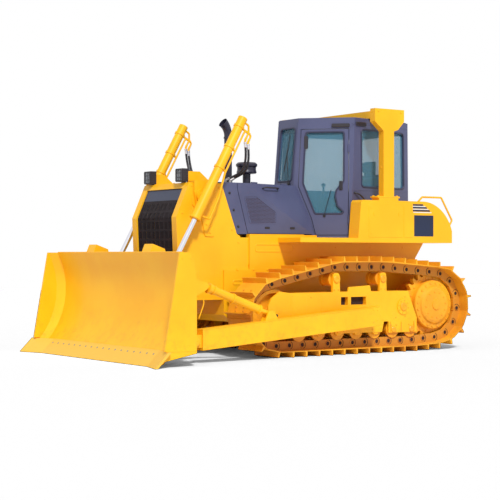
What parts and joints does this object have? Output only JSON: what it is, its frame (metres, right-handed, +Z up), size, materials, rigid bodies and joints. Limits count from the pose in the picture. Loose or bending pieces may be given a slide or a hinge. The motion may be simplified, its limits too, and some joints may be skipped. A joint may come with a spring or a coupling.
{
  "type": "bulldozer",
  "caption": "Crawler dozer with a straight blade on outer push arms, twin lift cylinders, enclosed six-sided cab and a roll-over frame.",
  "frame": {"origin": "on the ground under the middle of the machine, halfway between the drawbar's rear end and the tips of the end bits", "axes": "+X forward, +Y to the machine's left, +Z up"},
  "size_m": [5.4306, 3.472, 3.215],
  "materials": {
    "body_paint": "semi-gloss",
    "dark_paint": "semi-gloss",
    "black_paint": "satin",
    "engine_paint": "satin",
    "running_gear": "satin",
    "track_steel": "worn",
    "edge_steel": "worn",
    "rod_chrome": "polished",
    "lamp_black": "satin",
    "upholstery": "satin",
    "glass": "clear"
  },
  "bodies": {
    "chassis": {"track_left": "track_steel", "track_right": "track_steel", "sprockets": "running_gear", "final_drives": "running_gear", "idlers": "running_gear", "track_rollers": "running_gear", "carrier_rollers": "running_gear", "track_frames": "body_paint", "hull_frame": "body_paint", "frame_pivots": "body_paint", "engine_block": "engine_paint", "radiator_guard": "body_paint", "radiator_core": "black_paint", "grille": "dark_paint", "headlamps": "lamp_black", "hood_top": "dark_paint", "exhaust_stack": "black_paint", "air_precleaner": "black_paint", "floor_frame": "body_paint", "fuel_tank": "body_paint", "side_boxes": "body_paint", "rops_frame": "body_paint", "rear_handrails": "body_paint", "cab_shell": "dark_paint", "cab_glass": "glass", "seat_base": "lamp_black", "seat_cushion": "upholstery", "seat_back": "upholstery", "cab_controls": "lamp_black", "drawbar": "running_gear", "cylinder_yokes": "body_paint"},
    "blade_frame": {"blade": "body_paint", "cutting_edge": "edge_steel", "end_bits": "edge_steel", "push_arms": "body_paint", "tilt_cylinder": "body_paint", "tilt_brace": "body_paint"},
    "lift_barrel_left": {"lift_barrel_left": "body_paint"},
    "lift_barrel_right": {"lift_barrel_right": "body_paint"},
    "lift_rod_left": {"lift_rod_left": "rod_chrome"},
    "lift_rod_right": {"lift_rod_right": "rod_chrome"},
    "cab_door_left": {"cab_door_left": "dark_paint", "door_glass_left": "glass"},
    "cab_door_right": {"cab_door_right": "dark_paint", "door_glass_right": "glass"},
    "engine_cover_left": {"engine_cover_left": "dark_paint"},
    "engine_cover_right": {"engine_cover_right": "dark_paint"}
  },
  "joints": [
    {"name": "blade_lift", "type": "hinge", "parent": "chassis", "child": "blade_frame", "pos_m": [-0.765, 0, 0.49], "axis": [0, -1, 0], "range_deg": [-7.3, 18.1]},
    {"name": "lift_barrel_swing_left", "type": "hinge", "parent": "chassis", "child": "lift_barrel_left", "pos_m": [1.357, 0.7, 2.02], "axis": [0, -1, 0], "range_deg": [-6.92, 17.02]},
    {"name": "lift_rod_slide_left", "type": "slide", "parent": "lift_barrel_left", "child": "lift_rod_left", "axis": [0.4891, 0, -0.8722], "range_m": [-0.8265, 0.3345]},
    {"name": "lift_barrel_swing_right", "type": "hinge", "parent": "chassis", "child": "lift_barrel_right", "pos_m": [1.357, -0.7, 2.02], "axis": [0, -1, 0], "range_deg": [-6.92, 17.02]},
    {"name": "lift_rod_slide_right", "type": "slide", "parent": "lift_barrel_right", "child": "lift_rod_right", "axis": [0.4891, 0, -0.8722], "range_m": [-0.8265, 0.3345]},
    {"name": "cab_door_left_hinge", "type": "hinge", "parent": "chassis", "child": "cab_door_left", "pos_m": [-0.82992, 0.77973, 1.50046], "axis": [-0.0412, -0.0404, 0.9983], "range_deg": [0, 90]},
    {"name": "cab_door_right_hinge", "type": "hinge", "parent": "chassis", "child": "cab_door_right", "pos_m": [-0.82992, -0.77973, 1.50046], "axis": [0.0412, -0.0404, -0.9983], "range_deg": [0, 90]},
    {"name": "engine_cover_left_hinge", "type": "hinge", "parent": "chassis", "child": "engine_cover_left", "pos_m": [0.66116, 0.47474, 2.208], "axis": [0.9716, 0.2368, 0], "range_deg": [0, 75]},
    {"name": "engine_cover_right_hinge", "type": "hinge", "parent": "chassis", "child": "engine_cover_right", "pos_m": [0.66116, -0.47474, 2.208], "axis": [-0.9716, 0.2368, 0], "range_deg": [0, 75]}
  ],
  "couplings": [
    {"joint": "lift_barrel_swing_left", "follows": "blade_lift", "ratio": 0.935},
    {"joint": "lift_rod_slide_left", "follows": "blade_lift", "m_per_rad": -2.61},
    {"joint": "lift_barrel_swing_right", "follows": "blade_lift", "ratio": 0.935},
    {"joint": "lift_rod_slide_right", "follows": "blade_lift", "m_per_rad": -2.61}
  ]
}
